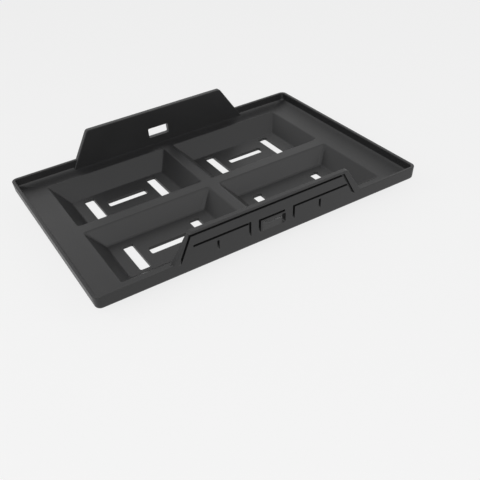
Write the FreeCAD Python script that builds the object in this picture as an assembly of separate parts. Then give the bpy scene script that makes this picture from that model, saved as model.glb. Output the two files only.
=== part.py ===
import FreeCAD, Part
import math
import os
from FreeCAD import Vector

os.makedirs("parts", exist_ok=True)

# Battery tray, one moulding in black polypropylene. Millimetres, Z up.
# The origin is the middle of the footprint, on the plane the tray rests on.
# The long sides run along X. Front is -Y, back is +Y.

# outline of the rim, measured over its top edge
length = 340.0
width = 232.0
corner_r = 6.5

# wall section
ledge_t = 3.2            # thickness of ledge, pocket walls and floors
rim_t = 3.2              # thickness of the rim at its top
rim_h = 10.6             # rim top above the ledge
rim_lean = 0.098         # outward lean of rim and tabs, run per rise
rim_foot_r = 3.0         # outer radius under the rim
lip_r = 0.7              # small radius on the rim's outer top edge
lip_bevel = 0.6          # small bevel on its inner top edge

# the hollow curve between rim and ledge is a quarter ellipse
cove_rise = 3.4
cove_run_side = 17.0     # along the short sides
cove_run_long = 9.5      # along the long sides
cove_steps = 13          # sections the curve is drawn through

# four pockets, two by two
pocket_depth = 15.4      # ledge to pocket floor
side_ledge = 30.5        # rim outer edge to pocket edge, short sides
long_ledge = 20.1        # rim outer edge to pocket edge, long sides
side_wall_run = 15.1     # plan run of the sloped walls at the short sides
long_wall_run = 19.9     # plan run of the sloped walls at the long sides
cross_ridge = 11.0       # flat top of the ridge that runs front to back
long_ridge = 13.7        # flat top of the ridge that runs end to end
cross_wall_run = 14.5    # plan run of the walls down from the cross ridge
ridge_wall_run = 11.8    # plan run of the walls down from the long ridge
pocket_r = 3.6           # radius in the pocket corners and where the walls meet the floor
pocket_edge_r = 2.6      # radius over the pocket edges

# openings in each pocket floor: two across, one lengthwise between them
slot_w = 10.4
slot_len = 43.1          # the two that run front to back
slot_in = 36.6           # their centre lines, from the middle of the tray
slot_out = 107.4
slot_y = 49.6            # centre of all openings, from the middle of the tray
mid_slot_len = 42.5      # the one that runs lengthwise
mid_slot_w = 11.0
slot_r = 1.6

# hold-down tabs, one in the middle of each long side
tab_rise = 28.4          # tab top above the rim top
tab_base = 197.6         # width at the rim top
tab_top = 162.4          # width at the tab top
tab_t = 5.4
tab_corner_r = 4.0
tab_edge_r = 0.8
hole_w = 24.0
hole_h = 10.4
hole_low = -1.4          # lower edge of the hole, from the rim top
hole_x = 1.6             # middle of the hole on the front tab
hole_r = 1.4

# relief grooves in the outer face of a tab, as seen from outside, heights from the rim top
groove_w = 2.3
groove_d = 2.7
groove_foot = -2.0       # where the lower ends reach the face
groove_ramp = 4.0        # height over which a lower end runs out
groove_r = 0.9
arch_top = 26.2          # top of the long groove that follows the tab's outline
arch_left = (-82.6, -94.4)     # its outer edge on the left, at its top and at its foot
arch_right = (77.2, 92.6)      # its outer edge on the right, at its top and at its foot
panel_left = (-79.4, -22.6, 14.3)    # left panel: two ends and the top of its groove
panel_mid = (-14.9, 12.6, 13.0)      # middle panel
panel_right = (21.1, 84.0, 13.6)     # right panel
rib_left = -55.7         # middle of the short groove in each side panel
rib_right = 51.1
rib_rise = 8.6           # top of the short grooves


def rounded_wire(half_x, half_y, r, z, cx=0.0, cy=0.0):
    """Closed rounded rectangle at height z."""
    x0, x1 = cx - half_x, cx + half_x
    y0, y1 = cy - half_y, cy + half_y
    k = r * (1.0 - math.sqrt(0.5))
    p = [Vector(x0 + r, y0, z), Vector(x1 - r, y0, z), Vector(x1, y0 + r, z), Vector(x1, y1 - r, z),
         Vector(x1 - r, y1, z), Vector(x0 + r, y1, z), Vector(x0, y1 - r, z), Vector(x0, y0 + r, z)]
    m = [Vector(x1 - k, y0 + k, z), Vector(x1 - k, y1 - k, z), Vector(x0 + k, y1 - k, z), Vector(x0 + k, y0 + k, z)]
    edges = []
    for i in range(4):
        edges.append(Part.LineSegment(p[2 * i], p[2 * i + 1]).toShape())
        edges.append(Part.Arc(p[2 * i + 1], m[i], p[(2 * i + 2) % 8]).toShape())
    return Part.Wire(edges)


def at_height(shape, z, tol=0.02):
    """Edges that lie wholly at one height."""
    found = []
    for e in shape.Edges:
        b = e.BoundBox
        if abs(b.ZMin - z) < tol and abs(b.ZMax - z) < tol:
            found.append(e)
    return found


# heights, with the resting plane at zero
floor_z = ledge_t
ledge_z = floor_z + pocket_depth
rim_z = ledge_z + rim_h
tab_z = rim_z + tab_rise
under_z = ledge_z - ledge_t
half_l = length / 2.0
half_w = width / 2.0

# pan: leaning outer wall with a rounded foot
drop = rim_lean * (rim_z - under_z)
outer = Part.makeLoft([rounded_wire(half_l - drop, half_w - drop, corner_r - drop, under_z),
                       rounded_wire(half_l, half_w, corner_r, rim_z)], True, True)
outer = outer.makeFillet(rim_foot_r, at_height(outer, under_z))
outer = outer.makeFillet(lip_r, at_height(outer, rim_z))

# pan cavity: flat ledge, hollow curve, then the inner face of the rim
inner_r = corner_r - rim_t
sections = []
for step in range(cove_steps + 1):
    a = math.radians(90.0 * step / cove_steps)
    z = ledge_z + cove_rise * (1.0 - math.cos(a))
    lean = rim_t + rim_lean * (rim_z - z)
    in_x = lean + cove_run_side * (1.0 - math.sin(a))
    in_y = lean + cove_run_long * (1.0 - math.sin(a))
    sections.append(rounded_wire(half_l - in_x, half_w - in_y, inner_r, z))
cove = Part.makeLoft(sections, True, False)
inner_l, inner_w = half_l - rim_t, half_w - rim_t
wall = Part.makeLoft([sections[-1], rounded_wire(inner_l, inner_w, inner_r, rim_z)], True, True)
bevel = Part.makeLoft([rounded_wire(inner_l, inner_w, inner_r, rim_z - lip_bevel),
                       rounded_wire(inner_l + lip_bevel, inner_w + lip_bevel, inner_r + lip_bevel, rim_z)], True, True)
pan = outer.cut(cove).cut(wall).cut(bevel)

# pockets: edges of each hollow at the ledge and at the floor, from the middle of the tray
px1, px0 = half_l - side_ledge, cross_ridge / 2.0
py1, py0 = half_w - long_ledge, long_ridge / 2.0
fx1, fx0 = px1 - side_wall_run, px0 + cross_wall_run
fy1, fy0 = py1 - long_wall_run, py0 + ridge_wall_run


def frustum(low, high, z_low, z_high):
    """Block with flat sloping sides between two rectangles given as x0, x1, y0, y1."""
    def corners(r, z):
        return [Vector(r[0], r[2], z), Vector(r[1], r[2], z), Vector(r[1], r[3], z), Vector(r[0], r[3], z)]
    a, b = corners(low, z_low), corners(high, z_high)
    rings = [a[::-1], b] + [[a[i], a[(i + 1) % 4], b[(i + 1) % 4], b[i]] for i in range(4)]
    shell = Part.Shell([Part.Face(Part.makePolygon(ring + [ring[0]])) for ring in rings])
    shell.sewShape()
    return Part.Solid(shell)


def pocket(sx, sy, grow, z_low, z_high, r):
    """Tapered pocket body. grow holds the plan offsets of its four walls, z_high may pass the ledge."""
    def section(z):
        f = (ledge_z - z) / pocket_depth
        xs = sorted((sx * (px0 + (fx0 - px0) * f - grow[0]), sx * (px1 + (fx1 - px1) * f + grow[1])))
        ys = sorted((sy * (py0 + (fy0 - py0) * f - grow[2]), sy * (py1 + (fy1 - py1) * f + grow[3])))
        return xs + ys
    block = frustum(section(z_low), section(z_high), z_low, z_high)
    soft = [e for e in block.Edges if e.BoundBox.ZMin < z_low + 0.01]
    return block.makeFillet(r, soft)


def wall_grow(run):
    """Plan offset that gives a sloped wall the ledge's thickness, square to the wall."""
    return ledge_t * math.sqrt(run * run + pocket_depth * pocket_depth) / pocket_depth


flat = (0.0, 0.0, 0.0, 0.0)
skin = [wall_grow(run) for run in (cross_wall_run, side_wall_run, ridge_wall_run, long_wall_run)]
signs = ((-1, -1), (1, -1), (1, 1), (-1, 1))
body = pan
for sx, sy in signs:
    body = body.fuse(pocket(sx, sy, skin, 0.0, ledge_z - 1.0, pocket_r + ledge_t))
for sx, sy in signs:
    body = body.cut(pocket(sx, sy, flat, floor_z, ledge_z + 0.4, pocket_r))
body = body.removeSplitter()

# soft edges round the pockets, at ledge level
rims = []
for e in at_height(body, ledge_z):
    b = e.BoundBox
    inside_x = max(abs(b.XMin), abs(b.XMax)) < px1 + 1.0
    inside_y = max(abs(b.YMin), abs(b.YMax)) < py1 + 1.0
    if inside_x and inside_y:
        rims.append(e)
body = body.makeFillet(pocket_edge_r, rims)


def face_y(z, depth=0.0):
    """Outer face of the front tab at height z, or a plane that far behind it."""
    return -(half_w + rim_lean * (z - rim_z) - depth)


def upright(points):
    """Solid with an outline in x and z that passes through the front tab."""
    ring = [Vector(x, -width, z) for x, z in points]
    return Part.Face(Part.makePolygon(ring + [ring[0]])).extrude(Vector(0, width, 0))


def along_x(points):
    """Bar with an outline in y and z that runs the length of the tray."""
    ring = [Vector(-half_l, y, z) for y, z in points]
    return Part.Face(Part.makePolygon(ring + [ring[0]])).extrude(Vector(length, 0, 0))


def tab():
    """Leaning plate with a trapezoid outline, at the front."""
    low = max(under_z + rim_foot_r, ledge_z) + 0.4
    plate = along_x([(face_y(low), low), (face_y(tab_z), tab_z),
                     (face_y(tab_z, tab_t), tab_z), (face_y(low, tab_t), low)])
    slope = (tab_base - tab_top) / 2.0 / tab_rise
    wide = tab_base / 2.0 + slope * (rim_z - low)
    block = upright([(-wide, low), (wide, low), (tab_top / 2.0, tab_z), (-tab_top / 2.0, tab_z)])
    corners = [e for e in block.Edges if e.BoundBox.ZMin > tab_z - 0.01 and e.BoundBox.YLength > tab_t]
    plate = plate.common(block.makeFillet(tab_corner_r, corners))
    soft = []
    for e in plate.Edges:
        b = e.BoundBox
        if b.ZMax > rim_z + 0.5 and b.ZMin > low - 0.01 and b.YLength < tab_t * 0.98:
            soft.append(e)
    return plate.makeFillet(tab_edge_r, soft)


def bar(x_a, z_a, x_b, z_b):
    """Rectangle between two corners, as a solid through the front tab."""
    return upright([(x_a, z_a), (x_b, z_a), (x_b, z_b), (x_a, z_b)])


def tab_cuts():
    """Relief grooves and the hold-down hole of the front tab."""
    foot = rim_z + groove_foot
    below = foot - 1.0
    top = rim_z + arch_top
    over = (arch_left[1] - arch_left[0]) / (foot - top)
    lean_r = (arch_right[1] - arch_right[0]) / (foot - top)
    side_l = groove_w * math.sqrt(1.0 + over * over)
    side_r = groove_w * math.sqrt(1.0 + lean_r * lean_r)

    def left_x(z):
        return arch_left[0] + over * (z - top)

    def right_x(z):
        return arch_right[0] + lean_r * (z - top)
    in_top = top - groove_w
    arch = upright([(left_x(below), below), (left_x(top), top), (right_x(top), top), (right_x(below), below)])
    arch = arch.cut(upright([(left_x(below) + side_l, below), (left_x(in_top) + side_l, in_top),
                             (right_x(in_top) - side_r, in_top), (right_x(below) - side_r, below)]))
    low_l, low_m, low_r = (rim_z + p[2] for p in (panel_left, panel_mid, panel_right))
    grooves = [arch,
               bar(panel_left[0], low_l - groove_w, panel_left[1], low_l),
               bar(panel_left[1] - groove_w, below, panel_left[1], low_l),
               bar(panel_mid[0], low_m - groove_w, panel_mid[1], low_m),
               bar(panel_mid[0], below, panel_mid[0] + groove_w, low_m),
               bar(panel_right[0], low_r - groove_w, panel_right[1], low_r),
               bar(panel_right[0], below, panel_right[0] + groove_w, low_r)]
    for x in (rib_left, rib_right):
        grooves.append(bar(x - groove_w / 2.0, below, x + groove_w / 2.0, rim_z + rib_rise))
    cut = grooves[0].multiFuse(grooves[1:]).removeSplitter()
    ramp = foot + groove_ramp
    slab = along_x([(face_y(below, -3.0), foot - groove_ramp / groove_d * 3.0), (face_y(ramp, groove_d), ramp),
                    (face_y(tab_z, groove_d), tab_z), (face_y(tab_z, -3.0), tab_z)])
    z0 = rim_z + hole_low
    wire = rounded_wire(hole_w / 2.0, hole_h / 2.0, hole_r, 0.0)
    hole = Part.Face(wire).extrude(Vector(0, 0, width / 2.0))
    hole.rotate(Vector(0, 0, 0), Vector(1, 0, 0), 90)
    hole.translate(Vector(hole_x, -width / 4.0, z0 + hole_h / 2.0))
    return [cut.common(slab), hole]


# the back tab is the front one turned half round
front = tab()
back = front.copy()
back.rotate(Vector(0, 0, 0), Vector(0, 0, 1), 180)
body = body.fuse(front).fuse(back)
for c in tab_cuts():
    body = body.cut(c)
    c.rotate(Vector(0, 0, 0), Vector(0, 0, 1), 180)
    body = body.cut(c)

# floor openings
for sx, sy in signs:
    for cx in (slot_in, slot_out):
        wire = rounded_wire(slot_w / 2.0, slot_len / 2.0, slot_r, -5.0, sx * cx, sy * slot_y)
        body = body.cut(Part.Face(wire).extrude(Vector(0, 0, floor_z + 10.0)))
    mid = (slot_in + slot_out) / 2.0
    wire = rounded_wire(mid_slot_len / 2.0, mid_slot_w / 2.0, slot_r, -5.0, sx * mid, sy * slot_y)
    body = body.cut(Part.Face(wire).extrude(Vector(0, 0, floor_z + 10.0)))

body = body.removeSplitter()
if body.ShapeType == "Compound" and len(body.Solids) == 1:
    body = body.Solids[0]
body.exportStep("parts/tray.step")
box = body.BoundBox
print("tray", body.isValid(), len(body.Solids), "solid,", len(body.Faces), "faces, volume cm3", round(body.Volume / 1000.0, 1))
print("size", round(box.XLength, 2), round(box.YLength, 2), round(box.ZLength, 2), "z from", round(box.ZMin, 2))
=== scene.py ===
import bpy
from mathutils import Matrix, Vector

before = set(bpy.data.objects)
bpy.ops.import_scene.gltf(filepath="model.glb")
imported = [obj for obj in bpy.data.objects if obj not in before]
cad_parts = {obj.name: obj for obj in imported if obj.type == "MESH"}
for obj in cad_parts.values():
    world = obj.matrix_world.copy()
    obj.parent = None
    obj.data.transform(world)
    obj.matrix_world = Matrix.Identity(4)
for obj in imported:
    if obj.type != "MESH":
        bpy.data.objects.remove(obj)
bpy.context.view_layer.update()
print("frame loaded")

# camera: place and clip distances in metres, lens and sensor in millimetres
camera = {
    "place": (-0.26556, -0.53794, 0.37514),
    "forward": (0.38985, 0.71148, -0.58465),
    "up": (0.35319, 0.47081, 0.80845),
    "lens": 51.37,
    "sensor": 36.0,
    "near": 0.02,
    "far": 50.0,
}


def makeCamera(c):
    data = bpy.data.cameras.new("camera")
    data.lens = c["lens"]
    data.sensor_width = c["sensor"]
    data.clip_start = c["near"]
    data.clip_end = c["far"]
    data.dof.use_dof = False
    eye = bpy.data.objects.new("camera", data)
    bpy.context.scene.collection.objects.link(eye)
    back = -Vector(c["forward"]).normalized()
    right = Vector(c["up"]).cross(back).normalized()
    up = back.cross(right)
    turn = Matrix((right, up, back)).transposed().to_4x4()
    eye.matrix_world = Matrix.Translation(Vector(c["place"])) @ turn
    bpy.context.scene.camera = eye


makeCamera(camera)
print("camera placed")


def addNode(tree, kind, at, **settings):
    node = tree.nodes.new(kind)
    node.location = at
    for key, value in settings.items():
        setattr(node, key, value)
    return node


# black polypropylene as it comes out of a fine sand-finished mould
plastic = {
    "dark": (0.0105, 0.0105, 0.0109, 1.0),
    "light": (0.0140, 0.0140, 0.0146, 1.0),
    "roughLow": 0.38,
    "roughHigh": 0.46,
    "ior": 1.50,
    "sheen": 0.47,           # specular level, just under the usual 0.5
    "cloudScale": 22.0,      # slow drift of tone over the moulding
    "cloudDetail": 3.0,
    "grainScale": 2600.0,    # sand finish, about 0.4 mm
    "grainDetail": 2.0,
    "grainDepth": 0.00002,
    "sinkScale": 38.0,       # slight waves where thick and thin walls cooled apart
    "sinkDetail": 0.0,
    "sinkDepth": 0.00018,
}


def mouldedPlastic(p):
    mat = bpy.data.materials.new("mouldedPlastic")
    mat.use_nodes = True
    tree = mat.node_tree
    tree.nodes.clear()
    out = addNode(tree, "ShaderNodeOutputMaterial", (900, 0))
    shader = addNode(tree, "ShaderNodeBsdfPrincipled", (600, 0))
    where = addNode(tree, "ShaderNodeTexCoord", (-900, 0))
    noises = []
    for key, height in (("cloud", 300), ("grain", -100), ("sink", -350)):
        noise = addNode(tree, "ShaderNodeTexNoise", (-600, height))
        noise.inputs["Scale"].default_value = p[key + "Scale"]
        noise.inputs["Detail"].default_value = p[key + "Detail"]
        noises.append(noise)
    cloud, grain, sink = noises
    tone = addNode(tree, "ShaderNodeMix", (-300, 300), data_type="RGBA")
    tone.inputs["A"].default_value = p["dark"]
    tone.inputs["B"].default_value = p["light"]
    rough = addNode(tree, "ShaderNodeMapRange", (-300, 100))
    rough.inputs["To Min"].default_value = p["roughLow"]
    rough.inputs["To Max"].default_value = p["roughHigh"]
    wave = addNode(tree, "ShaderNodeBump", (0, -350))
    wave.inputs["Distance"].default_value = p["sinkDepth"]
    sand = addNode(tree, "ShaderNodeBump", (300, -200))
    sand.inputs["Distance"].default_value = p["grainDepth"]
    link = tree.links.new
    for noise in noises:
        link(where.outputs["Object"], noise.inputs["Vector"])
    link(cloud.outputs["Fac"], tone.inputs["Factor"])
    link(cloud.outputs["Fac"], rough.inputs["Value"])
    link(sink.outputs["Fac"], wave.inputs["Height"])
    link(grain.outputs["Fac"], sand.inputs["Height"])
    link(wave.outputs["Normal"], sand.inputs["Normal"])
    link(tone.outputs["Result"], shader.inputs["Base Color"])
    link(rough.outputs["Result"], shader.inputs["Roughness"])
    link(sand.outputs["Normal"], shader.inputs["Normal"])
    shader.inputs["IOR"].default_value = p["ior"]
    shader.inputs["Specular IOR Level"].default_value = p["sheen"]
    link(shader.outputs["BSDF"], out.inputs["Surface"])
    return mat


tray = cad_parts["tray"]
tray.data.materials.clear()
tray.data.materials.append(mouldedPlastic(plastic))
print("tray dressed")

# floor, lamps and background
studio = {
    "floorSize": 6.0,
    "floorDrop": 0.0004,
    "floorTone": (0.86, 0.86, 0.86, 1.0),
    "floorSeen": 0.80,       # share of plain white that the camera sees in the floor
    "worldSeen": 1.0,        # the same share for the background
    "worldLight": 0.19,
    "white": (1.0, 1.0, 1.0, 1.0),
    "whiteStrength": 1.0,
}


def whiteToCamera(tree, surface, share, kind, socket):
    # camera, glossy and transmission rays see this share of plain white,
    # and all other rays see the surface itself
    path = addNode(tree, "ShaderNodeLightPath", (-700, 300))
    first = addNode(tree, "ShaderNodeMath", (-500, 300), operation="MAXIMUM")
    second = addNode(tree, "ShaderNodeMath", (-300, 300), operation="MAXIMUM")
    amount = addNode(tree, "ShaderNodeMath", (-100, 300), operation="MULTIPLY")
    amount.inputs[1].default_value = share
    white = addNode(tree, kind, (-100, 100))
    white.inputs["Color"].default_value = studio["white"]
    white.inputs["Strength"].default_value = studio["whiteStrength"]
    both = addNode(tree, "ShaderNodeMixShader", (200, 100))
    link = tree.links.new
    link(path.outputs["Is Camera Ray"], first.inputs[0])
    link(path.outputs["Is Glossy Ray"], first.inputs[1])
    link(first.outputs[0], second.inputs[0])
    link(path.outputs["Is Transmission Ray"], second.inputs[1])
    link(second.outputs[0], amount.inputs[0])
    link(amount.outputs[0], both.inputs["Fac"])
    link(surface, both.inputs[1])
    link(white.outputs[0], both.inputs[2])
    link(both.outputs[0], socket)


def makeFloor(s):
    half = s["floorSize"] / 2.0
    signs = ((-1, -1), (1, -1), (1, 1), (-1, 1))
    corners = [(x * half, y * half, -s["floorDrop"]) for x, y in signs]
    mesh = bpy.data.meshes.new("floor")
    mesh.from_pydata(corners, [], [(0, 1, 2, 3)])
    floor = bpy.data.objects.new("floor", mesh)
    bpy.context.scene.collection.objects.link(floor)
    mat = bpy.data.materials.new("paleFloor")
    mat.use_nodes = True
    tree = mat.node_tree
    tree.nodes.clear()
    out = addNode(tree, "ShaderNodeOutputMaterial", (500, 0))
    matte = addNode(tree, "ShaderNodeBsdfDiffuse", (-100, -100))
    matte.inputs["Color"].default_value = s["floorTone"]
    whiteToCamera(tree, matte.outputs[0], s["floorSeen"],
                  "ShaderNodeEmission", out.inputs["Surface"])
    mesh.materials.append(mat)


def makeWorld(s):
    world = bpy.data.worlds.new("studio")
    bpy.context.scene.world = world
    world.use_nodes = True
    tree = world.node_tree
    tree.nodes.clear()
    out = addNode(tree, "ShaderNodeOutputWorld", (500, 0))
    soft = addNode(tree, "ShaderNodeBackground", (-100, -100))
    soft.inputs["Color"].default_value = s["white"]
    soft.inputs["Strength"].default_value = s["worldLight"]
    whiteToCamera(tree, soft.outputs[0], s["worldSeen"],
                  "ShaderNodeBackground", out.inputs["Surface"])


# square soft lamps, all aimed at the middle of the tray's footprint
lampSize = 0.9
lamps = {
    "frontLeft": {"place": (-0.6, -1.0, 0.8), "power": 5.9},
    "frontRight": {"place": (0.6, -1.0, 0.8), "power": 2.6},
    "side": {"place": (-1.1, 0.0, 0.9), "power": 3.2},
}


def makeLamp(name, lamp):
    data = bpy.data.lights.new(name, "AREA")
    data.shape = "SQUARE"
    data.size = lampSize
    data.energy = lamp["power"]
    shine = bpy.data.objects.new(name, data)
    bpy.context.scene.collection.objects.link(shine)
    shine.location = lamp["place"]
    shine.rotation_euler = (-shine.location).to_track_quat("-Z", "Y").to_euler()


makeFloor(studio)
makeWorld(studio)
for name, lamp in lamps.items():
    makeLamp(name, lamp)
print("studio lit")

bpy.context.scene.view_settings.view_transform = "Standard"
